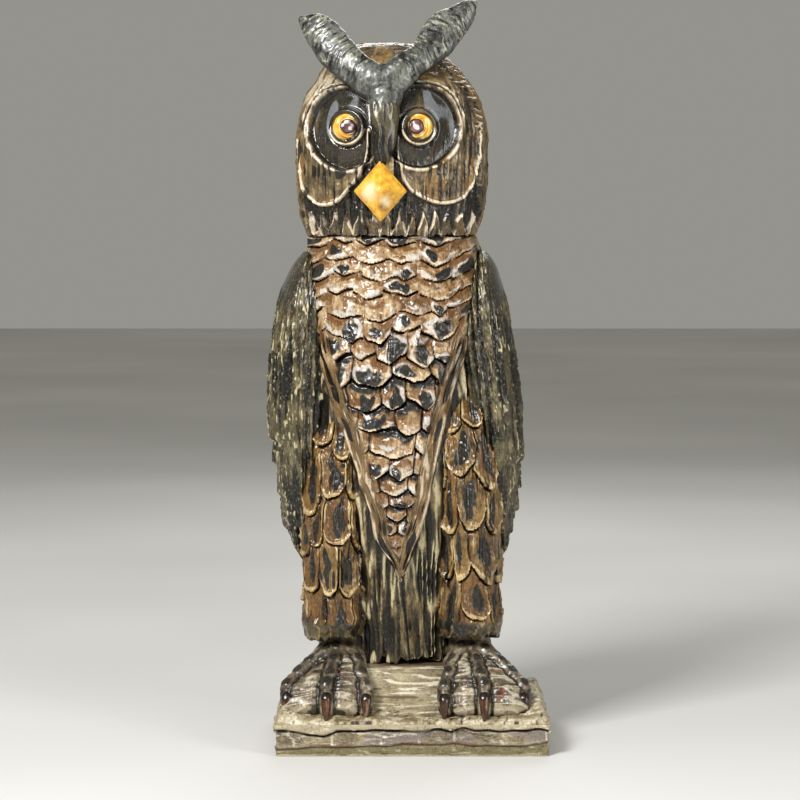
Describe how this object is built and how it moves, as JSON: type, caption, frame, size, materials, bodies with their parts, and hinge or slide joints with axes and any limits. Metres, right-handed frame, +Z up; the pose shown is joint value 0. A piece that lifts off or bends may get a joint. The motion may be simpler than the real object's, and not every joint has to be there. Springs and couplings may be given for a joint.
{
  "type": "carved wooden owl figurine",
  "caption": "Standing horned owl carved in stained wood, with a scaled breast bib, folded wings and clawed feet, on a rectangular hewn plinth.",
  "frame": {"origin": "centre of the bounding box at the level of the flat underside, where the figure stands", "axes": "+Z up, -Y towards the side the owl faces, +X towards the viewer's right"},
  "size_m": [0.182, 0.13, 0.4799],
  "materials": {
    "slab_wood": "grey-brown stain, hewn facets with rust-brown worn edges, satin",
    "ground_wood": "pale limed wood with dark wax in the cuts, satin",
    "raw_wood": "pale sawn wood with fine dark lines, matt",
    "body_wood": "dark olive stain, carved, worn pale on the ridges, satin",
    "breast_wood": "ochre stain, burnt spots, pale worn lips, semi-gloss lacquer",
    "head_wood": "olive-brown stain with pale worn ridges, satin lacquer",
    "brow_wood": "near-black stain with fine worn hatching, satin lacquer",
    "beak_paint": "golden yellow stain worn pale on one facet, semi-gloss",
    "eye_paint": "bright yellow paint with darker edge, gloss",
    "pupil_paint": "dark purple-brown paint, gloss",
    "wing_wood": "dark olive-grey stain with fine vertical gouges, satin, polished on the shoulder",
    "thigh_wood": "orange-brown stain, burnt ovals, pale outlines, semi-gloss lacquer",
    "foot_wood": "grey-brown stain, dark knuckles, satin",
    "claw_wood": "red-brown stain, semi-gloss",
    "dowel_wood": "plain turned hardwood, unfinished"
  },
  "bodies": {
    "root": {"base_slab": "slab_wood", "ground_block": "ground_wood", "support_block": "raw_wood", "trunk": "body_wood", "tail": "wing_wood", "breast_bib": "breast_wood", "head": "head_wood", "brow_tufts": "brow_wood", "beak": "beak_paint", "eye_left": "eye_paint", "eye_right": "eye_paint", "pupil_left": "pupil_paint", "pupil_right": "pupil_paint", "wing_left": "wing_wood", "wing_right": "wing_wood", "thigh_left": "thigh_wood", "thigh_right": "thigh_wood", "foot_left": "foot_wood", "foot_right": "foot_wood", "claw_left_inner": "claw_wood", "claw_left_middle": "claw_wood", "claw_left_outer": "claw_wood", "claw_right_inner": "claw_wood", "claw_right_middle": "claw_wood", "claw_right_outer": "claw_wood", "neck_dowel": "dowel_wood", "trunk_dowel": "dowel_wood", "leg_dowel_left": "dowel_wood", "leg_dowel_right": "dowel_wood", "wing_pegs_left": "dowel_wood", "wing_pegs_right": "dowel_wood", "bib_pegs": "dowel_wood", "tail_pegs": "dowel_wood", "brow_pegs": "dowel_wood", "beak_peg": "dowel_wood"}
  },
  "joints": []
}
